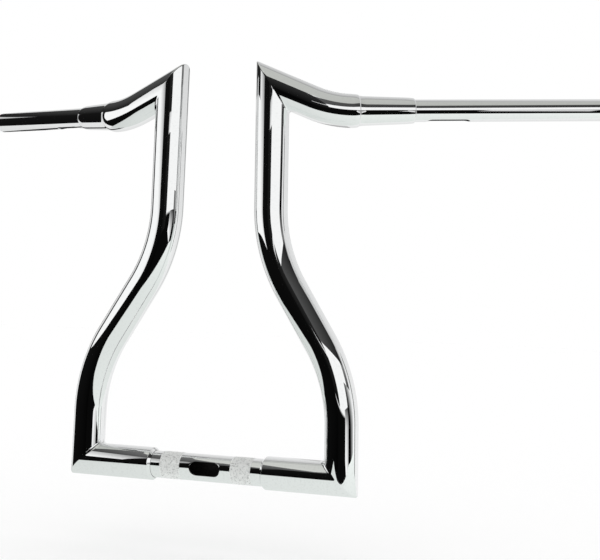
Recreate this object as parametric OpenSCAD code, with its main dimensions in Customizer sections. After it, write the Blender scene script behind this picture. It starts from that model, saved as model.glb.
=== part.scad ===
// Motorcycle handlebar with pointed top corners, welded up from round steel tube and chromed.
// Millimetres. +X to the rider's left, +Y back towards the rider, +Z up.
// The origin is on the axis of the clamp tube, midway between the two riser clamps.
// Every main tube follows a line of corner points: straight legs, with an arc at each inner corner.

/* [Tube stock] */
// Outer diameter of the base tubes, uprights and shoulders
tube_od = 38.1; // [34:0.1:42]
// Wall of the base tubes, uprights and shoulders
tube_wall = 3.05; // [2:0.05:3.1]
// Outer diameter of the clamp tube over its knurled bands
clamp_od = 31.75; // [29:0.05:33]
// Wall of the clamp tube
clamp_wall = 3.05; // [2:0.05:4]
// Outer diameter of the grip tubes
grip_od = 25.4; // [22.2:0.1:26]
// Wall of the grip tubes
grip_wall = 3.05; // [1.5:0.05:4]
// Radial clearance where one tube slips inside another
nest_gap = 0.125; // [0.05:0.025:0.2]

/* [Clamp tube] */
// Length of clamp tube that shows between the two base tubes
clamp_span = 138; // [120:1:160]
// Length of clamp tube inside each base tube
clamp_nest = 25; // [15:1:40]
// Distance between the middles of the two knurled bands, as the riser clamps stand apart
knurl_spacing = 88.9; // [80:0.1:95]
// Width of a knurled band
knurl_width = 25.4; // [18:0.1:30]
// Height of the knurl's crests over the polished tube beside it
knurl_height = 0.2; // [0.1:0.05:0.4]
// Length of the wiring slot in the front
slot_len = 38; // [24:1:44]
// Height of the wiring slot in the front
slot_height = 15.5; // [10:0.5:20]

/* [Base tubes] */
// Distance from the middle to a lower corner
corner_x = 160.5; // [145:0.5:180]
// Bevel on the inner end of a base tube
base_bevel = 3; // [1:0.25:3]

/* [Uprights] */
// Distance from the middle to the lower bend point
knee_x = 158; // [145:0.5:175]
// Height of the lower bend point
knee_z = 108; // [95:0.5:125]
// Distance from the middle to the upper bend point
neck_x = 66.5; // [58:0.5:80]
// Height of the upper bend point
neck_z = 251; // [235:0.5:275]
// Bend radius of an upright at its axis
upright_bend = 178; // [130:1:190]
// Distance from the middle to an upper corner
top_x = 63.5; // [56:0.5:75]
// Height of an upper corner
top_z = 439.5; // [400:0.5:480]

/* [Shoulders] */
// Distance from the middle to the shoulder's bend point
elbow_x = 131; // [120:0.5:150]
// How far back the shoulder's bend point lies
elbow_y = 15.5; // [5:0.5:25]
// Drop of the shoulder's bend point below the upper corner
elbow_drop = 28; // [22:0.5:34]
// Bend radius of a shoulder at its axis
shoulder_bend = 97.5; // [70:0.5:105]
// Straight length of a shoulder beyond its bend
shoulder_tail = 4; // [3.5:0.5:8]
// Bevel on the outer end of a shoulder
shoulder_bevel = 3; // [1:0.25:3]

/* [Grips] */
// Angle of a grip back towards the rider
grip_sweep = 28.5; // [20:0.5:36]
// Angle of a grip upwards
grip_rise = 3; // [0:0.5:6]
// Length of a collar that shows
collar_len = 64.5; // [50:0.5:80]
// Diameter of a collar beside the shoulder
collar_d_inner = 33.75; // [33:0.05:34]
// Diameter of a collar beside the grip tube
collar_d_outer = 29.5; // [29:0.05:32]
// Bevel on the outer end of a collar
collar_bevel = 1.25; // [0.5:0.05:1.5]
// Length of a grip tube that shows
grip_len = 219.5; // [180:0.5:240]
// Length of a grip tube inside its collar
grip_nest = 50; // [30:1:60]
// Height of the step on a grip tube that butts against its collar
grip_step = 0.25; // [0.25:0.05:0.5]

/* [Wiring cuts] */
// Distance from the collar to the wiring slot under a grip
grip_slot_start = 14; // [8:1:25]
// Length of the wiring slot under a grip
grip_slot_len = 51; // [30:1:60]
// Width of the wiring slot under a grip
grip_slot_width = 12; // [8:0.5:13]
// Width of the two throttle notches in the right grip's end
notch_width = 6.5; // [4:0.5:8]
// Depth of the two throttle notches in the right grip's end
notch_depth = 8; // [4:0.5:12]

/* [Hidden] */
$fn = 96;
chrome = [0.82, 0.83, 0.84];

tube_bore = tube_od - 2 * tube_wall;
clamp_bore = clamp_od - 2 * clamp_wall;
grip_bore = grip_od - 2 * grip_wall;
grip_nest_od = grip_od - 2 * grip_step;
collar_bore = grip_nest_od + 2 * nest_gap;
// Outer diameter of what slips into a main tube: the clamp tube's ends and the collars' spigots
spigot_od = tube_bore - 2 * nest_gap;
// A bend's wall is a hair thicker than a leg's on both faces, and each leg runs a hair into the bend
bend_lip = 0.02;
bend_lap = 0.08;

// Corner points of the left side; the right side is their mirror image
corner = [corner_x, 0, 0];
knee = [knee_x, 0, knee_z];
neck = [neck_x, 0, neck_z];
top = [top_x, 0, top_z];
elbow = [elbow_x, elbow_y, top_z - elbow_drop];
outward = [1, 0, 0];
grip_dir = [cos(grip_rise) * cos(grip_sweep), cos(grip_rise) * sin(grip_sweep), sin(grip_rise)];

function unit(v) = v / norm(v);
function along(p, q) = unit(q - p);
// Angle through which the line a-b-c turns at b
function turn(a, b, c) = acos(along(a, b) * along(b, c));
// Length that a bend of radius r takes from each leg at b
function tangent(a, b, c, r) = r * tan(turn(a, b, c) / 2);
// Unit vector at b that points to the centre of its bend, square to the leg a-b
function inside(a, b, c) =
    let (t = along(a, b), s = along(b, c)) unit(s - (s * t) * t);

// Where the shoulder's bend ends, and where its outer end lies
bend_end = tangent(top, elbow, elbow + grip_dir, shoulder_bend);
shoulder_end = elbow + (bend_end + shoulder_tail) * grip_dir;
collar_end = shoulder_end + collar_len * grip_dir;

// Turns +Z onto the direction v and moves it to p
module aim(p, v) {
    translate(p) rotate([0, acos(v[2] / norm(v)), atan2(v[1], v[0])]) children();
}

// Frame at p with +X along n, +Y along t and +Z square to both
module set_frame(p, n, t) {
    b = cross(n, t);
    multmatrix([[n[0], t[0], b[0], p[0]],
                [n[1], t[1], b[1], p[1]],
                [n[2], t[2], b[2], p[2]],
                [0, 0, 0, 1]])
        children();
}

module tube(od, bore, len) {
    difference() {
        cylinder(d = od, h = len);
        translate([0, 0, -1]) cylinder(d = bore, h = len + 2);
    }
}

// Straight leg of main tube from p to q
module leg(p, q) {
    aim(p, along(p, q)) translate([0, 0, -bend_lap]) tube(tube_od, tube_bore, norm(q - p) + 2 * bend_lap);
}

// Arc of main tube that joins the legs a-b and b-c
module bend(a, b, c, r) {
    n = inside(a, b, c);
    t = along(a, b);
    start = b - tangent(a, b, c, r) * t;
    set_frame(start + r * n, -n, t)
        rotate_extrude(angle = turn(a, b, c)) translate([r, 0]) difference() {
            circle(d = tube_od + 2 * bend_lip);
            circle(d = tube_bore - 2 * bend_lip);
        }
}

// Half space on the side of p that v points to
module side_of(p, v) {
    reach = 4 * tube_od;
    aim(p, v) translate([-reach, -reach, 0]) cube([2 * reach, 2 * reach, 2 * reach]);
}

// Half space beyond the mitre at b, where the legs a-b and b-c meet, on the side of c
module beyond_mitre(a, b, c) {
    side_of(b, along(a, b) + along(b, c));
}

// Outside of a 45 degree bevel that ends at radius r, its end face at z = 0 and the tube above it
module bevel_cut(r, bevel) {
    difference() {
        translate([0, 0, -1]) cylinder(r = r + 2, h = bevel + 1);
        translate([0, 0, -1]) cylinder(r1 = r - bevel - 1, r2 = r, h = bevel + 1);
    }
}

module stadium(len, width) {
    for (s = [-1, 1]) translate([s * (len - width) / 2, 0]) circle(d = width);
    square([len - width, width], center = true);
}

// Both sides of the bar: side 1 is the rider's left, side -1 the rider's right
module on_side(side) {
    if (side > 0) children();
    else mirror([1, 0, 0]) children();
}

// Takes the clamp tube down by the knurl's height from x = a to x = b
module polished(a, b) {
    translate([a, 0, 0]) rotate([0, 90, 0]) tube(clamp_od + 2, clamp_od - 2 * knurl_height, b - a);
}

module clamp_tube() {
    full = clamp_span + 2 * clamp_nest;
    band_start = (knurl_spacing - knurl_width) / 2;
    band_end = band_start + knurl_width;
    color(chrome) difference() {
        union() {
            rotate([0, 90, 0]) cylinder(d = clamp_od, h = clamp_span, center = true);
            // Ends that slip into the base tubes
            for (s = [-1, 1]) translate([s * (clamp_span + clamp_nest) / 2, 0, 0])
                rotate([0, 90, 0]) cylinder(d = spigot_od, h = clamp_nest, center = true);
        }
        rotate([0, 90, 0]) cylinder(d = clamp_bore, h = full + 2, center = true);
        polished(-band_start, band_start);
        polished(band_end, clamp_span / 2);
        polished(-clamp_span / 2, -band_end);
        // Wiring slot, through the front wall only
        rotate([90, 0, 0]) linear_extrude(clamp_od) stadium(slot_len, slot_height);
    }
}

module base_tube() {
    start = [clamp_span / 2, 0, 0];
    color(chrome) difference() {
        aim(start, outward) difference() {
            tube(tube_od, tube_bore, corner_x - clamp_span / 2 + tube_od);
            bevel_cut(tube_od / 2, base_bevel);
        }
        beyond_mitre(start, corner, knee);
    }
}

module upright() {
    low = tangent(corner, knee, neck, upright_bend);
    high = tangent(knee, neck, top, upright_bend);
    up = along(corner, knee);
    over = along(knee, neck);
    rise = along(neck, top);
    color(chrome) difference() {
        union() {
            leg(corner - tube_od * up, knee - low * up);
            bend(corner, knee, neck, upright_bend);
            leg(knee + low * over, neck - high * over);
            bend(knee, neck, top, upright_bend);
            leg(neck + high * rise, top + tube_od * rise);
        }
        // Lower and upper mitres
        side_of(corner, -(outward + up));
        beyond_mitre(neck, top, elbow);
    }
}

module shoulder() {
    down = along(top, elbow);
    color(chrome) difference() {
        union() {
            leg(top - tube_od * down, elbow - bend_end * down);
            bend(top, elbow, elbow + grip_dir, shoulder_bend);
            leg(elbow + bend_end * grip_dir, shoulder_end - bend_lap * grip_dir);
        }
        side_of(top, -(along(neck, top) + down));
        aim(shoulder_end, -grip_dir) bevel_cut(tube_od / 2, shoulder_bevel);
    }
}

module collar() {
    // The spigot fills the straight end of the shoulder's bore
    color(chrome) aim(shoulder_end, grip_dir) difference() {
        union() {
            translate([0, 0, -shoulder_tail]) cylinder(d = spigot_od, h = shoulder_tail);
            cylinder(d1 = collar_d_inner, d2 = collar_d_outer, h = collar_len - collar_bevel);
            translate([0, 0, collar_len - collar_bevel])
                cylinder(d1 = collar_d_outer, d2 = collar_d_outer - 2 * collar_bevel, h = collar_bevel);
        }
        translate([0, 0, -shoulder_tail - 1])
            cylinder(d = collar_bore, h = shoulder_tail + collar_len + 2);
    }
}

module grip_tube(notched) {
    full = grip_nest + grip_len;
    // In the local frame +X points down and Y lies level
    color(chrome) aim(collar_end - grip_nest * grip_dir, grip_dir) difference() {
        tube(grip_od, grip_bore, full);
        // Turned down where it sits in the collar
        translate([0, 0, -1]) tube(grip_od + 2, grip_nest_od, grip_nest + 1);
        translate([0, 0, grip_nest + grip_slot_start + grip_slot_len / 2]) rotate([0, 90, 0])
            linear_extrude(grip_od) stadium(grip_slot_len, grip_slot_width);
        if (notched) translate([0, 0, full])
            cube([notch_width, 2 * grip_od, 2 * notch_depth], center = true);
    }
}

clamp_tube();
on_side(1) base_tube();  // base_tube_left
on_side(-1) base_tube();  // base_tube_right
on_side(1) upright();  // upright_left
on_side(-1) upright();  // upright_right
on_side(1) shoulder();  // shoulder_left
on_side(-1) shoulder();  // shoulder_right
on_side(1) collar();  // collar_left
on_side(-1) collar();  // collar_right
on_side(1) grip_tube(false);  // grip_tube_left
on_side(-1) grip_tube(true);  // grip_tube_right
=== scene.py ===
import math

import bmesh
import bpy
from mathutils import Matrix, Vector


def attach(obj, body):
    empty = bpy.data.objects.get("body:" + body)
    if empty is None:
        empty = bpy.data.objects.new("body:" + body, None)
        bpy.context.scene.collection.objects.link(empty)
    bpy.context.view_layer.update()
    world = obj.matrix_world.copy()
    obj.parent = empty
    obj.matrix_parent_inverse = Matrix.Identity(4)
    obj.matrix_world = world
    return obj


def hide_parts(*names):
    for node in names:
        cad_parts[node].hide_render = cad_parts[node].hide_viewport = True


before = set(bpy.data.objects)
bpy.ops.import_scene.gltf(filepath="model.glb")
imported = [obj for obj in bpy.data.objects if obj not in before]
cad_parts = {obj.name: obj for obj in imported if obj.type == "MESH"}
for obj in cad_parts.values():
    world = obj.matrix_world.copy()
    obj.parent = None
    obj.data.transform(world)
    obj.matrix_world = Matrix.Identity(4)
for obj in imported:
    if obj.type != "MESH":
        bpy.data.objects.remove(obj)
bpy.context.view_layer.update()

MM = 0.001
bpy.context.scene.view_settings.view_transform = "Standard"

# Sizes, in metres
TUBE_R, TUBE_BORE_R = 19.05 * MM, 16.0 * MM
CLAMP_R, CLAMP_BORE_R = 15.875 * MM, 12.825 * MM
KNURL_PROUD, KNURL_SINK = 0.2 * MM, 0.8 * MM
POLISHED_R, KNURL_SEAT_R = CLAMP_R - KNURL_PROUD, CLAMP_R - KNURL_SINK
GRIP_R, GRIP_BORE_R = 12.7 * MM, 9.65 * MM
GRIP_NEST_R = GRIP_R - 0.25 * MM
COLLAR_BORE_R = GRIP_NEST_R + 0.125 * MM
SPIGOT_R = TUBE_BORE_R - 0.125 * MM
COLLAR_INNER_R, COLLAR_OUTER_R = 16.875 * MM, 14.75 * MM
CLAMP_HALF, CLAMP_NEST = 69 * MM, 25 * MM
STEP_BEVEL, COLLAR_BEVEL = 3 * MM, 1.25 * MM
CORNER = Vector((160.5, 0, 0)) * MM
KNEE = Vector((158, 0, 108)) * MM
NECK = Vector((66.5, 0, 251)) * MM
TOP = Vector((63.5, 0, 439.5)) * MM
ELBOW = Vector((131, 15.5, 411.5)) * MM
UPRIGHT_BEND, SHOULDER_BEND = 178 * MM, 97.5 * MM
SHOULDER_TAIL = 4 * MM
SWEEP, RISE = math.radians(28.5), math.radians(3)
GRIP_DIR = Vector((math.cos(RISE) * math.cos(SWEEP), math.cos(RISE) * math.sin(SWEEP), math.sin(RISE)))
COLLAR_LEN, GRIP_LEN, GRIP_NEST = 64.5 * MM, 219.5 * MM, 50 * MM
GRIP_SLOT_START, GRIP_SLOT_LEN, GRIP_SLOT_WIDTH = 14 * MM, 51 * MM, 12 * MM
NOTCH_WIDTH, NOTCH_DEPTH = 6.5 * MM, 8 * MM
SLOT_LEN, SLOT_HEIGHT = 38 * MM, 15.5 * MM
KNURL_MIDDLE, KNURL_WIDTH, KNURL_DEPTH = 44.45 * MM, 25.4 * MM, 0.42 * MM

# Small forms of the ground welds and edges
WELD_ROUND, WELD_INSIDE = 2.2 * MM, 3.2
NOSE_LEN, NOSE_EDGE, NOSE_DROP, SEAM_R = 7 * MM, 0.8 * MM, 0.6 * MM, 17.9 * MM
SEAM_ROUND = 0.12 * MM
BEVEL_ROUND, BEVEL_TOE = 0.35 * MM, 0.3 * MM
FILLET_EDGE, FILLET_DROP = 0.7 * MM, 0.5 * MM
DRAWN_LEN, DRAWN_IN = 9 * MM, 0.45 * MM
LIP = 0.6 * MM
LIP_PROFILE = ((0.35, 0.08), (0.75, 0.3), (1.0, 0.75))
RIM_BESIDE, RIM_BEYOND = 2.5 * MM, 4 * MM

# How finely the surfaces are divided
AROUND = 128
WELD_STEPS, ARC_STEPS_LEAST, ARC_STEP, DRAWN_STEPS = 6, 8, math.radians(1.0), 8
SLOT_LINES, NOTCH_LINES, BACK_LINES, SLOT_ROWS, RIM_TURNS = 24, 8, 56, 36, 5
KNURL_TEETH, KNURL_ROWS, KNURL_COLUMNS, KNURL_FADE = 80, 120, 480, 24
SHARP_FROM = math.radians(28)


def turn_at(a, b, c):
    """Angle between the legs a-b and b-c."""
    return (b - a).angle(c - b)


# Camera
LENS_PX, FRAME_PX, SENSOR = 1333.568, 600, 36
YAW, PITCH, ROLL = 0.3736640, 0.0134511, 0.0319966
# Where the bar's origin lies from the camera: to its right, ahead of it, above it
ORIGIN_SEEN = Vector((-104.016, 1535.470, -216.671)) * MM


def add_camera():
    ry = Matrix(((math.cos(YAW), math.sin(YAW), 0), (-math.sin(YAW), math.cos(YAW), 0), (0, 0, 1)))
    rp = Matrix(((1, 0, 0), (0, math.cos(PITCH), math.sin(PITCH)), (0, -math.sin(PITCH), math.cos(PITCH))))
    rr = Matrix(((math.cos(ROLL), 0, math.sin(ROLL)), (0, 1, 0), (-math.sin(ROLL), 0, math.cos(ROLL))))
    turn = rr @ rp @ ry
    right, forward, up = (Vector(turn[i]) for i in range(3))
    where = -(turn.transposed() @ ORIGIN_SEEN)
    data = bpy.data.cameras.new("camera")
    data.sensor_fit, data.sensor_width = "HORIZONTAL", SENSOR
    data.lens = LENS_PX * SENSOR / FRAME_PX
    data.clip_start, data.clip_end = 0.05, 60
    camera = bpy.data.objects.new("camera", data)
    camera.matrix_world = Matrix.Translation(where) @ Matrix((right, up, -forward)).transposed().to_4x4()
    bpy.context.scene.collection.objects.link(camera)
    bpy.context.scene.camera = camera


add_camera()


# Materials
def new_material(name):
    material = bpy.data.materials.new(name)
    material.use_nodes = True
    nodes = material.node_tree.nodes
    nodes.clear()
    out = nodes.new("ShaderNodeOutputMaterial")
    shader = nodes.new("ShaderNodeBsdfPrincipled")
    material.node_tree.links.new(shader.outputs[0], out.inputs[0])
    return material, shader


def polish_group():
    """Shader group: slow waviness and fine marks that polishing leaves under the plate."""
    group = bpy.data.node_groups.new("polish", "ShaderNodeTree")
    for name, value in (("Wave Size", 30), ("Mark Size", 900), ("Smooth", 0.02), ("Marked", 0.06)):
        socket = group.interface.new_socket(name, in_out="INPUT", socket_type="NodeSocketFloat")
        socket.default_value = value
    for name in ("Roughness", "Height", "Shade"):
        group.interface.new_socket(name, in_out="OUTPUT", socket_type="NodeSocketFloat")
    n, link = group.nodes, group.links.new
    inp, out = n.new("NodeGroupInput"), n.new("NodeGroupOutput")
    coord = n.new("ShaderNodeTexCoord")
    wave, mark = n.new("ShaderNodeTexNoise"), n.new("ShaderNodeTexNoise")
    wave.inputs["Detail"].default_value = 1.0
    mark.inputs["Detail"].default_value = 3.0
    for tex, size in ((wave, "Wave Size"), (mark, "Mark Size")):
        link(coord.outputs["Object"], tex.inputs["Vector"])
        link(inp.outputs[size], tex.inputs["Scale"])
    span, spots = n.new("ShaderNodeMapRange"), n.new("ShaderNodeMapRange")
    for node, low, high in ((span, 0.45, 0.8), (spots, 0.5, 0.68)):
        node.inputs["From Min"].default_value, node.inputs["From Max"].default_value = low, high
        link(mark.outputs["Fac"], node.inputs["Value"])
    link(inp.outputs["Smooth"], span.inputs["To Min"])
    link(inp.outputs["Marked"], span.inputs["To Max"])
    link(span.outputs["Result"], out.inputs["Roughness"])
    link(spots.outputs["Result"], out.inputs["Shade"])
    link(wave.outputs["Fac"], out.inputs["Height"])
    return group


POLISH = polish_group()


def colour_socket(sockets, name):
    return next(socket for socket in sockets if socket.name == name and socket.type == "RGBA")


def use_polish(material, shader, values, bumps, light, shaded):
    """Roughness, bumps (strength, distance) and a colour from light to shaded, all from the polish group."""
    n, link = material.node_tree.nodes, material.node_tree.links.new
    node = n.new("ShaderNodeGroup")
    node.node_tree = POLISH
    for name, value in values.items():
        node.inputs[name].default_value = value
    bump = n.new("ShaderNodeBump")
    bump.inputs["Strength"].default_value, bump.inputs["Distance"].default_value = bumps
    link(node.outputs["Height"], bump.inputs["Height"])
    link(node.outputs["Roughness"], shader.inputs["Roughness"])
    tone = n.new("ShaderNodeMix")
    tone.data_type = "RGBA"
    colour_socket(tone.inputs, "A").default_value = light
    colour_socket(tone.inputs, "B").default_value = shaded
    link(node.outputs["Shade"], tone.inputs[0])
    link(colour_socket(tone.outputs, "Result"), shader.inputs["Base Color"])
    link(bump.outputs["Normal"], shader.inputs["Normal"])


def finish(name, metallic, values, bump, light, shaded):
    material, shader = new_material(name)
    shader.inputs["Metallic"].default_value = metallic
    use_polish(material, shader, values, bump, light, shaded)
    return material


CHROME = finish("chrome", 1, {"Wave Size": 22, "Mark Size": 420, "Smooth": 0.012, "Marked": 0.035},
                (0.12, 0.0006), (0.89, 0.9, 0.9, 1), (0.85, 0.86, 0.86, 1))
KNURL = finish("knurled_chrome", 0.5, {"Wave Size": 900, "Mark Size": 520, "Smooth": 0.3, "Marked": 0.5},
               (0.3, 0.0003), (0.93, 0.94, 0.93, 1), (0.58, 0.59, 0.58, 1))
# Steel inside the tubes, coloured near-black: the dark is painted shade in the bores and slot walls
PAINTED_DARK_BORE = finish("bore_painted_shade", 0.6, {"Wave Size": 300, "Mark Size": 700, "Smooth": 0.5, "Marked": 0.7},
              (0.4, 0.0004), (0.035, 0.03, 0.03, 1), (0.012, 0.01, 0.01, 1))


# Mesh helpers
def add_piece(name, bm, replaced=(), materials=(CHROME,)):
    bmesh.ops.recalc_face_normals(bm, faces=bm.faces)
    for face in bm.faces:
        face.smooth = True
    mesh = bpy.data.meshes.new(name)
    bm.to_mesh(mesh)
    bm.free()
    mesh.set_sharp_from_angle(angle=SHARP_FROM)
    for material in materials:
        mesh.materials.append(material)
    piece = bpy.data.objects.new(name, mesh)
    bpy.context.scene.collection.objects.link(piece)
    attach(piece, "root")
    if replaced:
        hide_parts(*replaced)
    return piece


def stations(path, radii, mitres):
    """Rings along a line of corner points, with an arc at each bend and a rounded weld at each mitre.

    A ring is (middle, direction, None), and at a mitre (middle, direction, normal, corner, shift, outward).
    """
    out = [(path[0], (path[1] - path[0]).normalized(), None)]
    for i in range(1, len(path) - 1):
        a, b, c = path[i - 1:i + 2]
        t, s = (b - a).normalized(), (c - b).normalized()
        if i in mitres:
            normal = (t + s).normalized()
            for k in range(WELD_STEPS + 1):
                u = k / WELD_STEPS
                shift = -(1 - u) ** 2 * WELD_ROUND * t + u ** 2 * WELD_ROUND * s
                out.append((b + shift, t if u <= 0.5 else s, normal, b, shift, (t - s).normalized()))
        else:
            angle = t.angle(s)
            cut = radii[i] * math.tan(angle / 2)
            axis = t.cross(s).normalized()
            start = b - cut * t
            middle = start + radii[i] * (axis.cross(t)).normalized()
            steps = max(ARC_STEPS_LEAST, int(angle / ARC_STEP))
            for k in range(steps + 1):
                turn = Matrix.Rotation(angle * k / steps, 3, axis)
                out.append((middle + turn @ (start - middle), turn @ t, None))
    out.append((path[-1], (path[-1] - path[-2]).normalized(), None))
    return out


def swept_rings(path, radii, mitres, radius):
    """Points of each ring of a round tube that follows the path, on frames carried along without twist."""
    rings = []
    t_last = (path[1] - path[0]).normalized()
    e = t_last.cross(Vector((0, 1, 0))).normalized()
    for st in stations(path, radii, mitres):
        middle, t, normal = st[0], st[1], st[2]
        turn = t_last.rotation_difference(t).to_matrix()
        e = turn @ e
        t_last = t
        f = t.cross(e)
        ring = []
        for k in range(AROUND):
            angle = 2 * math.pi * k / AROUND
            off = radius * (math.cos(angle) * e + math.sin(angle) * f)
            if normal is None:
                ring.append(middle + off)
            else:
                corner, shift, outward = st[3:6]
                inside = max(0.0, -off.dot(outward) / radius)
                cut = off - t * (off.dot(normal) / t.dot(normal))
                ring.append(corner + cut + shift * (1 + WELD_INSIDE * inside ** 2))
        rings.append(ring)
    return rings


def add_rings(bm, rings):
    return [[bm.verts.new(p) for p in ring] for ring in rings]


def bridge(bm, a, b, material=0):
    n = len(a)
    for k in range(n):
        face = bm.faces.new((a[k], a[(k + 1) % n], b[(k + 1) % n], b[k]))
        face.material_index = material


def mirrored(bm):
    for v in bm.verts:
        v.co.x = -v.co.x
    bmesh.ops.reverse_faces(bm, faces=bm.faces)


SIDES = (("left", 1), ("right", -1))


# Welded main tube of each side
BEND_END = SHOULDER_BEND * math.tan(turn_at(TOP, ELBOW, ELBOW + GRIP_DIR) / 2)
SHOULDER_END = ELBOW + (BEND_END + SHOULDER_TAIL) * GRIP_DIR
COLLAR_END = SHOULDER_END + COLLAR_LEN * GRIP_DIR


def bevel_profile(radius_out, bevel):
    """(distance from the end, radius) points of a bevelled end, with a small round at its shoulder."""
    shoulder = [(bevel + along * BEVEL_ROUND, radius_out - drop * BEVEL_ROUND)
                for along, drop in ((1, 0), (0.4, 0.06), (-0.3, 0.45), (-1, 1))]
    return shoulder + [(BEVEL_TOE, radius_out - bevel + BEVEL_TOE), (0.0, radius_out - bevel)]


def main_tube(side, sign):
    """Base tube, upright and shoulder of one side, welded into one."""
    path = [Vector((CLAMP_HALF, 0, 0)), CORNER, KNEE, NECK, TOP, ELBOW, SHOULDER_END]
    radii = {2: UPRIGHT_BEND, 3: UPRIGHT_BEND, 5: SHOULDER_BEND}
    mitres = (1, 4)
    bm = bmesh.new()
    outer = swept_rings(path, radii, mitres, TUBE_R)
    inner = swept_rings(path, radii, mitres, TUBE_BORE_R)

    def end_rings(ring, middle, inward, profile):
        return [[middle + inward * along + (p - middle) * (radius / TUBE_R) for p in ring]
                for along, radius in profile]

    def nose_radius(from_end):
        """The ground weld draws the tube's end in, slowly and then steeply to the seam."""
        return TUBE_R - NOSE_DROP * max(0.0, (NOSE_LEN - from_end) / (NOSE_LEN - NOSE_EDGE)) ** 2

    inward = (path[1] - path[0]).normalized()
    first = end_rings(outer[0], path[0], inward, bevel_profile(TUBE_R, STEP_BEVEL))
    tail = [(along * MM, nose_radius(along * MM)) for along in (3.2, 2.4, 1.6, 1.1, 0.8)]
    tail += [(0.45 * MM, nose_radius(NOSE_EDGE) - SEAM_ROUND), (0.15 * MM, SEAM_R + SEAM_ROUND),
             (0.0, SEAM_R)]
    last = end_rings(outer[-1], path[-1], (path[-2] - path[-1]).normalized(), tail)
    body = outer[1:-1]
    for i, ring in enumerate(body):
        middle = sum(ring, Vector()) / len(ring)
        from_end = (middle - path[-1]).length
        if from_end < NOSE_LEN and i > len(body) // 2:
            body[i] = [middle + (p - middle) * (nose_radius(from_end) / TUBE_R) for p in ring]
    rows = add_rings(bm, first[::-1] + body + last)
    bores = add_rings(bm, inner)
    for a, b in zip(rows, rows[1:]):
        bridge(bm, a, b)
    for a, b in zip(bores, bores[1:]):
        bridge(bm, b, a, 1)
    bridge(bm, bores[0], rows[0])
    bridge(bm, rows[-1], bores[-1])
    if sign < 0:
        mirrored(bm)
    return add_piece("main_tube_" + side, bm, ("base_tube_" + side, "upright_" + side, "shoulder_" + side),
                     (CHROME, PAINTED_DARK_BORE))


# Collar
def basis_along(p, t):
    """Frame at p with +Z along t, +X pointing down and Y level, as the grip tubes lie."""
    x = Vector((t.x * t.z, t.y * t.z, -(t.x ** 2 + t.y ** 2))).normalized()
    y = t.cross(x)
    return Matrix.Translation(p) @ Matrix((x, y, t)).transposed().to_4x4()


def turned(bm, profile):
    """Surface turned about +Z from a closed profile of (z, r) points."""
    turns = [2 * math.pi * k / AROUND for k in range(AROUND)]
    rows = [[bm.verts.new((r * math.cos(a), r * math.sin(a), z)) for a in turns] for z, r in profile]
    for i in range(len(rows)):
        bridge(bm, rows[i], rows[(i + 1) % len(rows)])


def collar(side, sign):
    """Tapered reducer from the seam at the shoulder to its drawn-in outer end."""
    bm = bmesh.new()

    def wall(z):
        return COLLAR_INNER_R + (COLLAR_OUTER_R - COLLAR_INNER_R) * z / (COLLAR_LEN - COLLAR_BEVEL)

    def fillet(z):
        return wall(z) + (SEAM_R - FILLET_DROP - COLLAR_INNER_R) * (
            (NOSE_LEN - z) / (NOSE_LEN - FILLET_EDGE)) ** 2

    profile = [(-SHOULDER_TAIL, COLLAR_BORE_R), (-SHOULDER_TAIL, SPIGOT_R), (0, SPIGOT_R), (0, SEAM_R),
               (0.15 * MM, SEAM_R - SEAM_ROUND), (0.4 * MM, fillet(FILLET_EDGE) + SEAM_ROUND)]
    profile += [(z * MM, fillet(z * MM)) for z in (0.7, 1.1, 1.6, 2.3, 3.1, 4, 5, 6, 7)]
    for k in range(DRAWN_STEPS + 1):
        back = DRAWN_LEN * (1 - k / DRAWN_STEPS)
        z = COLLAR_LEN - COLLAR_BEVEL - back
        profile.append((z, wall(z) - DRAWN_IN * (1 - back / DRAWN_LEN) ** 2))
    edge_r = profile[-1][1]
    profile += [(COLLAR_LEN - back * COLLAR_BEVEL, edge_r - drop * MM)
                for back, drop in ((0.75, 0.12), (0.35, 0.38), (0.08, 0.8))]
    profile += [(COLLAR_LEN, GRIP_R + 0.02 * MM), (COLLAR_LEN, COLLAR_BORE_R)]
    turned(bm, profile)
    bmesh.ops.transform(bm, matrix=basis_along(SHOULDER_END, GRIP_DIR), verts=bm.verts)
    if sign < 0:
        mirrored(bm)
    return add_piece("collar_ring_" + side, bm, ("collar_" + side,))


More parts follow.
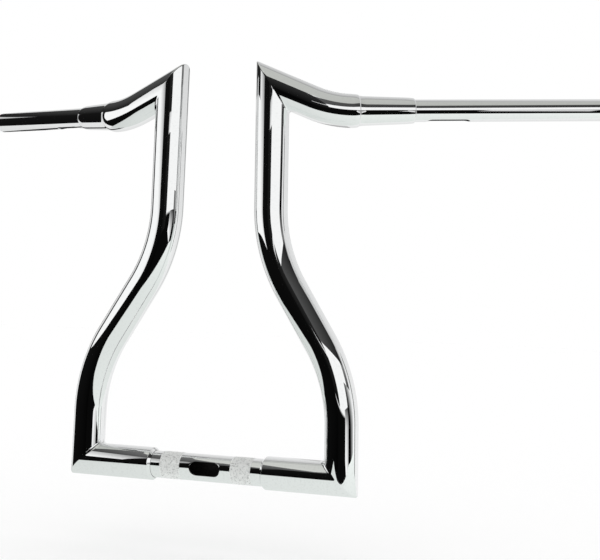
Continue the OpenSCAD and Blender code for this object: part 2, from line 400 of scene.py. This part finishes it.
# Slotted tubes
def slotted_tube(name, replaced, wall, bore, length, slot_at, slot_len, slot_width, place, sign,
                 notched=False, necks=()):
    """Tube along +Z with a stadium slot in its +X side and, if notched, two notches in its far end.

    wall and bore are its radii. necks gives (start, end, radius) of each stretch whose wall is turned down.
    """
    half_z = slot_width / 2 + RIM_BESIDE
    half_s = slot_len / 2 + RIM_BEYOND
    front, steps = SLOT_LINES, SLOT_ROWS
    notch = NOTCH_WIDTH / 2
    counts = (NOTCH_LINES, NOTCH_LINES, BACK_LINES, NOTCH_LINES, NOTCH_LINES)

    def angles(r):
        a1 = math.asin(half_z / r)
        out = [math.asin(half_z * math.sin(math.pi / 2 * (2 * k / front - 1)) / r) for k in range(front)]
        gaps = [a1, math.pi / 2 - math.asin(notch / r), math.pi / 2 + math.asin(notch / r),
                1.5 * math.pi - math.asin(notch / r), 1.5 * math.pi + math.asin(notch / r), 2 * math.pi - a1]
        for a, b, count in zip(gaps, gaps[1:], counts):
            out += [a + (b - a) * k / count for k in range(count)]
        return out

    lo, hi = slot_at - half_s, slot_at + half_s
    rows = [(0.0, wall)]
    for start, end, r in necks:
        if end < lo:
            rows += [(start, wall), (start, r)] if start else [(0.0, r)]
            rows += [(end, r), (end, wall)]
    rows += [(lo + (hi - lo) * k / steps, wall) for k in range(steps + 1)]
    for start, end, r in necks:
        if start > hi:
            rows += [(start, wall), (start, r), (end, r), (end, wall)]
    tail = length - NOTCH_DEPTH if notched else length
    rows += [(tail, wall)] + ([(length, wall)] if notched else [])
    first = next(i for i, (z, r) in enumerate(rows) if abs(z - lo) < 1e-9)
    last = first + steps
    bm = bmesh.new()
    count = len(angles(wall))
    marks = [front + sum(counts[:k]) for k in (1, 2, 3, 4)]

    def skin(is_bore):
        grid = []
        for z, r in rows:
            r = bore if is_bore else r
            grid.append([bm.verts.new((r * math.cos(a), r * math.sin(a), z)) for a in angles(r)])
        made = {}
        for i in range(len(rows) - 1):
            for k in range(count):
                if first <= i < last and k < front:
                    continue
                if notched and i == len(rows) - 2 and (marks[0] <= k < marks[1] or marks[2] <= k < marks[3]):
                    continue
                quad = (grid[i][k], grid[i][(k + 1) % count], grid[i + 1][(k + 1) % count], grid[i + 1][k])
                made[i, k] = bm.faces.new(quad if not is_bore else quad[::-1])
                made[i, k].material_index = 1 if is_bore else 0
        # Patch between the rim of the opening in the grid and the slot
        rim = [(first, k) for k in range(front)] + [(i, front) for i in range(first, last)]
        rim += [(last, k) for k in range(front, 0, -1)] + [(i, 0) for i in range(last, first, -1)]
        r = bore if is_bore else wall
        ends = (slot_len - slot_width) / 2
        layers = [[grid[i][k] for i, k in rim]]
        edge = []
        for v in layers[0]:
            s, y = v.co.z - slot_at, v.co.y
            # Nearest way from the rim towards the slot's middle line
            m = max(-ends, min(ends, s))
            d = math.hypot(s - m, y) or 1
            reach = slot_width / 2 + (0 if is_bore else LIP)
            edge.append((slot_at + m + (s - m) / d * reach, y / d * reach))
        for j in range(1, RIM_TURNS + 1):
            u = j / RIM_TURNS
            layer = []
            for v, (s1, y1) in zip(layers[0], edge):
                # Straight in the y, z plane, then up onto the wall
                s0, y0 = v.co.z, v.co.y
                y = y0 + (y1 - y0) * u
                layer.append(bm.verts.new((math.sqrt(r * r - y * y), y, s0 + (s1 - s0) * u)))
            layers.append(layer)
        if not is_bore:
            for inset, drop in LIP_PROFILE:
                layer = []
                for v, (s1, y1) in zip(layers[RIM_TURNS], edge):
                    m = slot_at + max(-ends, min(ends, s1 - slot_at))
                    keep = (slot_width / 2 + LIP * (1 - inset)) / (slot_width / 2 + LIP)
                    y = y1 * keep
                    x = math.sqrt(r * r - y * y) - drop * LIP
                    layer.append(bm.verts.new((x, y, m + (s1 - m) * keep)))
                layers.append(layer)
        for a, b in zip(layers, layers[1:]):
            n = len(a)
            for k in range(n):
                quad = (a[k], b[k], b[(k + 1) % n], a[(k + 1) % n])
                face = bm.faces.new(quad if not is_bore else quad[::-1])
                face.material_index = 1 if is_bore else 0
        return grid, layers[-1]

    outer_grid, outer_rim = skin(False)
    bore_grid, bore_rim = skin(True)
    pairs = dict(zip(sum(outer_grid, []) + outer_rim, sum(bore_grid, []) + bore_rim))
    open_edges = [e for e in bm.edges
                  if len(e.link_faces) == 1 and e.verts[0] in pairs and e.verts[1] in pairs]
    for e in open_edges:
        a, b = e.verts
        bm.faces.new((a, b, pairs[b], pairs[a]))
    loose = [v for v in bm.verts if not v.link_faces]
    bmesh.ops.delete(bm, geom=loose, context="VERTS")
    bmesh.ops.transform(bm, matrix=place, verts=bm.verts)
    if sign < 0:
        mirrored(bm)
    return add_piece(name, bm, replaced, (CHROME, PAINTED_DARK_BORE))


def clamp_tube():
    # +Z of the tube runs along +X of the bar, and +X of the tube points to the front
    place = Matrix.Translation((-CLAMP_HALF - CLAMP_NEST, 0, 0)) @ Matrix(
        ((0, 0, 1), (-1, 0, 0), (0, -1, 0))).to_4x4()
    full = 2 * (CLAMP_HALF + CLAMP_NEST)
    middles = [full / 2 + side * KNURL_MIDDLE for side in (-1, 1)]
    bands = [(z - KNURL_WIDTH / 2, z + KNURL_WIDTH / 2, KNURL_SEAT_R) for z in middles]
    return slotted_tube("clamp_bar", ("clamp_tube",), POLISHED_R, CLAMP_BORE_R, full, full / 2,
                        SLOT_LEN, SLOT_HEIGHT, place, 1, necks=bands)


def grip_tube(side, sign):
    start = COLLAR_END - GRIP_NEST * GRIP_DIR
    return slotted_tube("grip_bar_" + side, ("grip_tube_" + side,), GRIP_R, GRIP_BORE_R, GRIP_NEST + GRIP_LEN,
                        GRIP_NEST + GRIP_SLOT_START + GRIP_SLOT_LEN / 2, GRIP_SLOT_LEN, GRIP_SLOT_WIDTH,
                        basis_along(start, GRIP_DIR), sign, notched=sign < 0,
                        necks=((0, GRIP_NEST, GRIP_NEST_R),))


# Knurled bands
def knurl_band(side, sign):
    """Sleeve with crossed diagonal grooves, pressed into the clamp tube."""
    pitch = 2 * math.pi * CLAMP_R / KNURL_TEETH
    turns = [2 * math.pi * k / KNURL_COLUMNS for k in range(KNURL_COLUMNS)]
    bm = bmesh.new()

    def ring_point(x, r, angle):
        return bm.verts.new((x, -r * math.cos(angle), r * math.sin(angle)))

    grid = []
    for i in range(KNURL_ROWS + 1):
        along = i / KNURL_ROWS - 0.5
        x = KNURL_WIDTH * along
        fade = min(1.0, KNURL_FADE * (0.5 - abs(along)))
        ring = []
        for angle in turns:
            s = angle * KNURL_TEETH / (2 * math.pi)
            a = abs(((s + x / pitch) % 1) * 2 - 1)
            b = abs(((s - x / pitch) % 1) * 2 - 1)
            depth = KNURL_DEPTH * (1 - min(a, b))
            ring.append(ring_point(x, CLAMP_R - depth * fade - (1 - fade) * KNURL_PROUD, angle))
        grid.append(ring)
    ends = [[ring_point(end * KNURL_WIDTH / 2, KNURL_SEAT_R, angle) for angle in turns] for end in (-1, 1)]
    for a, b in zip(grid, grid[1:]):
        bridge(bm, a, b)
    bridge(bm, ends[0], grid[0])
    bridge(bm, grid[-1], ends[1])
    bridge(bm, ends[1], ends[0])
    bmesh.ops.translate(bm, vec=(sign * KNURL_MIDDLE, 0, 0), verts=bm.verts)
    return add_piece("knurl_" + side, bm, (), (KNURL,))


clamp_tube()
for side, sign in SIDES:
    main_tube(side, sign)
    collar(side, sign)
    grip_tube(side, sign)
    knurl_band(side, sign)


# Studio
# Across is to the right of the first view, out is towards its viewer; both level, from the bar's origin
ACROSS, OUT = Vector((0.931, 0.365, 0)), Vector((0.365, -0.931, 0))
FLOOR_Z, FLOOR_REACH = -0.096, 8
GLOW_TOP = 1.05
HORIZON, ROOM_BELOW, ROOM_ABOVE = 0.01, 0.003, 1.02


def card_material(name, tint):
    """Even light whose strength slopes over a card, from the values at its corners."""
    material = bpy.data.materials.new(name)
    material.use_nodes = True
    n, link = material.node_tree.nodes, material.node_tree.links.new
    n.clear()
    out, glow = n.new("ShaderNodeOutputMaterial"), n.new("ShaderNodeEmission")
    corner, limit = n.new("ShaderNodeAttribute"), n.new("ShaderNodeClamp")
    corner.attribute_name = "glow"
    glow.inputs["Color"].default_value = tint
    limit.inputs["Max"].default_value = GLOW_TOP
    link(corner.outputs["Fac"], limit.inputs["Value"])
    link(limit.outputs[0], glow.inputs["Strength"])
    link(glow.outputs[0], out.inputs[0])
    return material


def add_sheet(name, corners, material, glow=None):
    """Flat stage sheet. With glow, its strength at each corner, it is seen only in the chrome."""
    bm = bmesh.new()
    layer = bm.verts.layers.float.new("glow")
    verts = [bm.verts.new(c) for c in corners]
    for v, value in zip(verts, glow or (0, 0, 0, 0)):
        v[layer] = value
    bm.faces.new(verts)
    mesh = bpy.data.meshes.new(name)
    bm.to_mesh(mesh)
    bm.free()
    mesh.materials.append(material)
    obj = bpy.data.objects.new(name, mesh)
    bpy.context.scene.collection.objects.link(obj)
    if glow:
        for ray in ("camera", "diffuse", "transmission", "volume_scatter", "shadow"):
            setattr(obj, "visible_" + ray, False)
    return obj


CARD = card_material("studio_card", (1, 1, 1, 1))
TABLE = card_material("studio_table", (0.96, 1, 0.975, 1))
CEILING = card_material("studio_ceiling", (0.985, 1, 0.955, 1))
CARD_CORNERS = ((-1, -1), (1, -1), (1, 1), (-1, 1))


def standing_card(name, bearing, distance, twist, half_width, low, high, strength, slope=0, rise=0):
    """Upright card. bearing is from OUT towards ACROSS, and twist turns it off facing the bar.

    slope is the strength gained from its middle to its left edge, rise from its middle to its top.
    """
    a, b = math.radians(bearing), math.radians(bearing + twist)
    middle = distance * (math.sin(a) * ACROSS + math.cos(a) * OUT) + Vector((0, 0, (low + high) / 2))
    along = math.cos(b) * ACROSS - math.sin(b) * OUT
    up = Vector((0, 0, (high - low) / 2))
    corners = [middle + i * half_width * along + j * up for i, j in CARD_CORNERS]
    return add_sheet(name, corners, CARD, [strength - i * slope + j * rise for i, j in CARD_CORNERS])


def lying_card(name, material, height, across, out, strength, slope, rise):
    """Level card. slope is the strength gained from its middle to its right edge, rise to its near edge."""
    corners = [across[i > 0] * ACROSS + out[j > 0] * OUT + Vector((0, 0, height)) for i, j in CARD_CORNERS]
    return add_sheet(name, corners, material, [strength + i * slope + j * rise for i, j in CARD_CORNERS])


lying_card("table_seen_in_chrome", TABLE, -0.089, (-0.61, 1.7), (-1.73, 0.65), 0.87, 0.163, 0.082)
lying_card("ceiling", CEILING, 2.153, (-2.69, 3.89), (-0.9, 1.86), 0.553, -0.188, -0.012)
# Name, bearing, distance, twist, half width, low, high, strength, slope, rise
CARDS = (
    ("dark_wall_front_left", -43.5, 2.92, 46.4, 2.008, 0.104, 2.421, 0.005, -0.016, 0.011),
    ("bright_wall_behind", -152.8, 0.55, -47.9, 2.944, -0.461, 2.561, 0.59, 0.147, -0.443),
    ("graded_card_right", 66.5, 1.147, -26.7, 0.349, -0.6, 0.381, 0.052, -0.5, 0.481),
    ("dark_wall_high_front", 33.0, 1.814, 9.1, 1.692, 1.072, 2.463, 0.061, 0.046, 0.016),
    ("dark_wall_right", 104.5, 1.706, 7.4, 1.723, -0.172, 1.492, 0.074, -0.027, 0.328),
    ("bright_strip_front", -4.7, 1.978, 8.2, 0.273, 0.649, 0.72, 0.82, -0.243, -0.117),
    ("dark_band_behind_left", -142.5, 0.666, 28.4, 2.994, 0.536, 1.208, 0.09, 0.044, 0.077),
    ("bright_card_left", -78.0, 0.674, -13.3, 0.366, 0.229, 0.657, 1.037, 0.5, -0.347),
    ("dark_wall_left", -118.7, 1.535, 40.0, 2.971, -0.272, 0.934, 0.006, 0.003, 0.002),
    ("graded_wall_front_right", 43.4, 2.942, 51.4, 2.521, -0.564, 0.332, 0.538, 0.264, -0.5),
    ("strip_behind_middle", 158.6, 0.34, 0, 0.04, 0, 0.55, 0.42, 0, -0.42),
    ("strip_behind_left", -145.6, 0.605, -55.8, 0.05, -0.45, 0.5, 0.03),
    ("strip_behind_right", 93, 0.823, 65.6, 0.06, -0.45, 0.5, 0.03),
)
for card in CARDS:
    standing_card(*card)


def add_floor():
    """Pale floor for the eye and for soft shadows."""
    material, shader = new_material("pale_floor")
    shader.inputs["Base Color"].default_value = (1, 1, 1, 1)
    shader.inputs["Roughness"].default_value = 0.9
    shader.inputs["Specular IOR Level"].default_value = 0.0
    corners = [(x * FLOOR_REACH, y * FLOOR_REACH, FLOOR_Z) for x, y in CARD_CORNERS]
    floor = add_sheet("floor", corners, material)
    floor.visible_glossy = False


def add_world():
    """White room. The chrome sees it bright above the horizon and dark below it."""
    world = bpy.data.worlds.new("studio")
    bpy.context.scene.world = world
    world.use_nodes = True
    n, link = world.node_tree.nodes, world.node_tree.links.new
    n.clear()
    out, mix = n.new("ShaderNodeOutputWorld"), n.new("ShaderNodeMixShader")
    plain, mirrored_room = n.new("ShaderNodeBackground"), n.new("ShaderNodeBackground")
    path, coord = n.new("ShaderNodeLightPath"), n.new("ShaderNodeTexCoord")
    split, level = n.new("ShaderNodeSeparateXYZ"), n.new("ShaderNodeMapRange")
    link(coord.outputs["Generated"], split.inputs[0])
    link(split.outputs["Z"], level.inputs["Value"])
    for name, value in (("From Min", -HORIZON), ("From Max", HORIZON),
                        ("To Min", ROOM_BELOW), ("To Max", ROOM_ABOVE)):
        level.inputs[name].default_value = value
    link(level.outputs["Result"], mirrored_room.inputs["Strength"])
    plain.inputs["Strength"].default_value = 1.0
    for node in (plain, mirrored_room):
        node.inputs["Color"].default_value = (1, 1, 1, 1)
    link(path.outputs["Is Glossy Ray"], mix.inputs[0])
    link(plain.outputs[0], mix.inputs[1])
    link(mirrored_room.outputs[0], mix.inputs[2])
    link(mix.outputs[0], out.inputs[0])


add_floor()
add_world()
